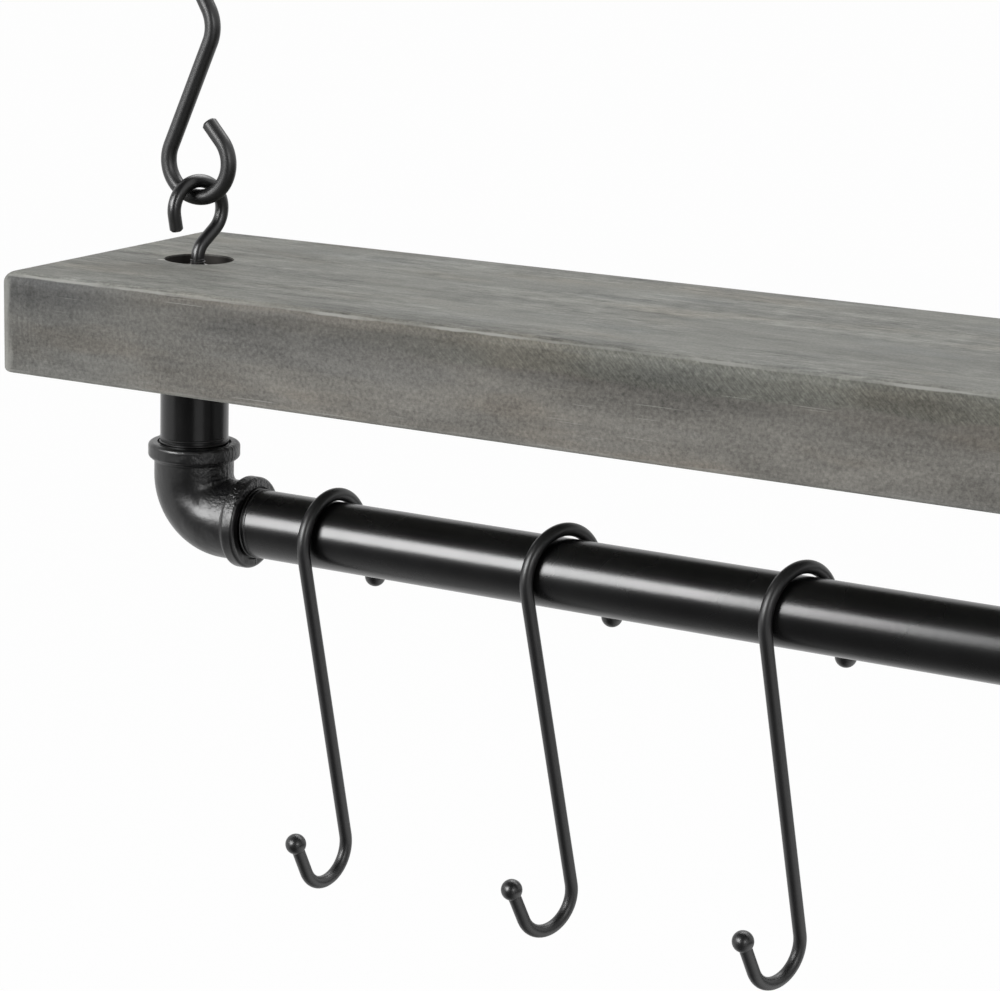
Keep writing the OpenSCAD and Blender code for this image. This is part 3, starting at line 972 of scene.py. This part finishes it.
class POTRACK_OT_elbows(bpy.types.Operator):
    """Coats the two cast elbows"""

    bl_idname = "potrack.elbows"
    bl_label = "Elbows"

    def execute(self, context):
        finish_nodes(["left_elbow", "right_elbow"], cast_coating(context.scene.potrack_metal))
        return {"FINISHED"}


class POTRACK_OT_wire(bpy.types.Operator):
    """Coats the hook bolts, S-hooks, pan hooks and their balls"""

    bl_idname = "potrack.wire"
    bl_label = "Wire hooks"

    def execute(self, context):
        metal = context.scene.potrack_metal
        wire = black_coating(
            "wire_black", metal.wire_colour, metal.wire_roughness,
            orange_peel=0.0030, relief=0.000015, wear=0.25, long_axis=2,
        )[0]
        bolt = black_coating(
            "hook_bolt_black", metal.wire_colour, metal.wire_roughness - 0.08,
            orange_peel=0.0024, relief=0.00004, wear=0.6,
        )[0]
        ball = black_coating(
            "ball_black", metal.wire_colour, metal.wire_roughness - 0.04,
            orange_peel=0.0020, relief=0.00002, wear=0.3,
        )[0]
        balls = [name for name in frame["nodes"] if name.endswith("balls")]
        hooks = [name for name in frame["nodes"] if name.startswith("pan_hook") and name not in balls]
        finish_nodes(hooks + ["left_s_hook", "right_s_hook"], wire)
        finish_nodes(["left_hook_bolt", "right_hook_bolt"], bolt)
        finish_nodes(balls, ball)
        return {"FINISHED"}


class POTRACK_OT_fasteners(bpy.types.Operator):
    """Plates the nuts, washers and plugs"""

    bl_idname = "potrack.fasteners"
    bl_label = "Nuts, washers and plugs"

    def execute(self, context):
        zinc = bright_zinc(context.scene.potrack_metal)
        finish_nodes(["clamp_nuts", "clamp_washers", "nipple_plugs"], zinc)
        return {"FINISHED"}


# Studio. Places are in metres, in the part's frame.

FLOOR_HALF = 40
FLOOR_COLOUR = (0.8, 0.8, 0.8, 1)
FLOOR_BACK_LEFT = (-0.8, 0.6, 0)
FLOOR_PATCH = (1.8, 0.6)
WHITE = (1, 1, 1, 1)
ROOM_BEHIND = (-0.75, 0.66, 0)
ROOM_BESIDE = (0.9, 0.43, 0)

KEY_AIM = (-0.31, 0, -0.1)
SMALL_BOX_AIM = (-0.35, 0, -0.2)
# Name, place, aim, width and height, and the setting with its power
LAMPS = (
    ("key_box", (-1.1614, -1.6814, 0.568), KEY_AIM, (0.90, 1.0), "key_power"),
    ("top_box", (-0.2, 1.35, 1.75), (-0.15, 0, -0.1), (2.2, 1.0), "top_power"),
    ("left_box", (-1.85, -1.04, 0.50), SMALL_BOX_AIM, (0.35, 0.40), "left_power"),
    ("right_box", (1.05, -1.28, 0.40), SMALL_BOX_AIM, (0.32, 0.32), "right_power"),
    ("right_panel", (1.19, -1.5, -0.61), (-0.4, 0, -0.06), (1.2, 0.8), "side_power"),
)


def white_floor(drop):
    """A wide white floor that keeps the shadow.

    The camera sees it white. Reflections see it white to the back left and in a patch at the right.
    """
    shape = bmesh.new()
    place = Matrix.Translation((0, 0, -drop))
    bmesh.ops.create_grid(shape, x_segments=2, y_segments=2, size=FLOOR_HALF, matrix=place)
    sheet = new_object("studio_floor", to_mesh("studio_floor", shape))
    material, tree = empty_material("studio_floor")
    place = add_node(tree, "ShaderNodeTexCoord").outputs["Object"]
    along = share_towards(tree, place, FLOOR_BACK_LEFT)
    sockets = {0: place, 1: (*FLOOR_PATCH, -drop)}
    near = add_node(tree, "ShaderNodeVectorMath", sockets, operation="DISTANCE").outputs["Value"]
    back_left = ease(tree, along, -0.05, 1.05, 0.12, 1.0)
    patch = ease(tree, near, 2.6, 0.9, 0.0, 1.4)
    path = add_node(tree, "ShaderNodeLightPath").outputs
    mirrored = calculate(tree, "MAXIMUM", path["Is Glossy Ray"], path["Is Transmission Ray"])
    level = calculate(tree, "MAXIMUM", path["Is Camera Ray"], calculate(tree, "MAXIMUM", back_left, patch))
    seen = calculate(tree, "MAXIMUM", path["Is Camera Ray"], mirrored)
    plain = add_node(tree, "ShaderNodeBsdfDiffuse", {"Color": FLOOR_COLOUR}).outputs[0]
    white = add_node(tree, "ShaderNodeEmission", {"Color": WHITE, "Strength": level}).outputs[0]
    mixed = add_node(tree, "ShaderNodeMixShader", {0: times(tree, seen, 0.985), 1: plain, 2: white})
    add_node(tree, "ShaderNodeOutputMaterial", {"Surface": mixed.outputs[0]})
    sheet.data.materials.append(material)


def soft_box(name, place, aim, size, power):
    """One rectangular lamp, aimed at a point."""
    lamp = bpy.data.lights.new(name, "AREA")
    lamp.shape = "RECTANGLE"
    lamp.size, lamp.size_y = size
    lamp.energy = power
    holder = new_object(name, lamp)
    holder.location = place
    holder.rotation_euler = (Vector(aim) - Vector(place)).to_track_quat("-Z", "Y").to_euler()
    holder.visible_camera = False


def white_room(level_of_room):
    """The world: plain light, white to the camera, and white behind and beside the rack to reflections."""
    world = bpy.data.worlds.new("studio")
    bpy.context.scene.world = world
    world.use_nodes = True
    tree = world.node_tree
    tree.nodes.clear()
    path = add_node(tree, "ShaderNodeLightPath").outputs
    toward = add_node(tree, "ShaderNodeTexCoord").outputs["Generated"]
    behind = ease(tree, share_towards(tree, toward, ROOM_BEHIND), 0.15, 0.6)
    beside = ease(tree, share_towards(tree, toward, ROOM_BESIDE), 0.1, 0.5)
    walls = calculate(tree, "MAXIMUM", behind, beside)
    mirrored = times(tree, path["Is Glossy Ray"], walls, 1 - level_of_room)
    seen = times(tree, path["Is Camera Ray"], 1 - level_of_room)
    level = add_up(tree, level_of_room, mirrored, seen)
    background = add_node(tree, "ShaderNodeBackground", {"Color": WHITE, "Strength": level})
    add_node(tree, "ShaderNodeOutputWorld", {"Surface": background.outputs[0]})


def photo_camera(stage):
    """The camera that the photograph was taken with."""
    azimuth, pitch, roll = stage.camera_azimuth, stage.camera_pitch, stage.camera_roll
    level_ahead = Vector((-math.sin(azimuth), math.cos(azimuth), 0))
    level_right = Vector((math.cos(azimuth), math.sin(azimuth), 0))
    ahead = level_ahead * math.cos(pitch) + Vector((0, 0, -math.sin(pitch)))
    level_up = level_right.cross(ahead)
    right = level_right * math.cos(roll) + level_up * math.sin(roll)
    up = level_up * math.cos(roll) - level_right * math.sin(roll)
    lens = bpy.data.cameras.new("photo_camera")
    lens.sensor_width = 36
    lens.lens = stage.lens
    camera = new_object("photo_camera", lens)
    turn = Matrix((right, up, -ahead)).transposed().to_4x4()
    camera.matrix_world = Matrix.Translation(stage.camera_place) @ turn
    bpy.context.scene.camera = camera


class POTRACK_OT_stage(bpy.types.Operator):
    """Builds the floor, the lamps, the room light and the camera"""

    bl_idname = "potrack.stage"
    bl_label = "Studio and camera"

    def execute(self, context):
        stage = context.scene.potrack_stage
        for thing in [thing for thing in bpy.data.objects if thing.name in ("Cube", "Light", "Camera")]:
            bpy.data.objects.remove(thing)
        white_floor(stage.floor_drop)
        for name, place, aim, size, power in LAMPS:
            soft_box(name, place, aim, size, getattr(stage, power))
        white_room(stage.room_level)
        photo_camera(stage)
        context.scene.view_settings.view_transform = "Standard"
        return {"FINISHED"}


class POTRACK_PT_panel(bpy.types.Panel):
    """Lists the rack's pieces and their settings"""

    bl_label = "Pot Rack"
    bl_space_type = "VIEW_3D"
    bl_region_type = "UI"
    bl_category = "Pot Rack"

    def draw(self, context):
        layout = self.layout
        for name in SETTINGS:
            group = getattr(context.scene, name)
            box = layout.box()
            for setting in group.bl_rna.properties:
                if setting.identifier not in ("rna_type", "name"):
                    box.prop(group, setting.identifier)
        for operator in OPERATORS:
            layout.operator(operator.bl_idname)


SETTINGS = {
    "potrack_wood": PotRackWood,
    "potrack_metal": PotRackMetal,
    "potrack_threads": PotRackThreads,
    "potrack_stage": PotRackStage,
}
OPERATORS = (
    POTRACK_OT_stage,
    POTRACK_OT_board,
    POTRACK_OT_pipes,
    POTRACK_OT_elbows,
    POTRACK_OT_threads,
    POTRACK_OT_wire,
    POTRACK_OT_fasteners,
)


def register():
    for group in (*SETTINGS.values(), *OPERATORS, POTRACK_PT_panel):
        bpy.utils.register_class(group)
    for name, group in SETTINGS.items():
        setattr(bpy.types.Scene, name, PointerProperty(type=group))


def unregister():
    for name in SETTINGS:
        delattr(bpy.types.Scene, name)
    for group in (POTRACK_PT_panel, *reversed(OPERATORS), *SETTINGS.values()):
        bpy.utils.unregister_class(group)


def main():
    register()
    bpy.ops.potrack.stage()
    bpy.ops.potrack.board()
    bpy.ops.potrack.pipes()
    bpy.ops.potrack.elbows()
    bpy.ops.potrack.threads()
    bpy.ops.potrack.wire()
    bpy.ops.potrack.fasteners()


if __name__ == "__main__":
    main()
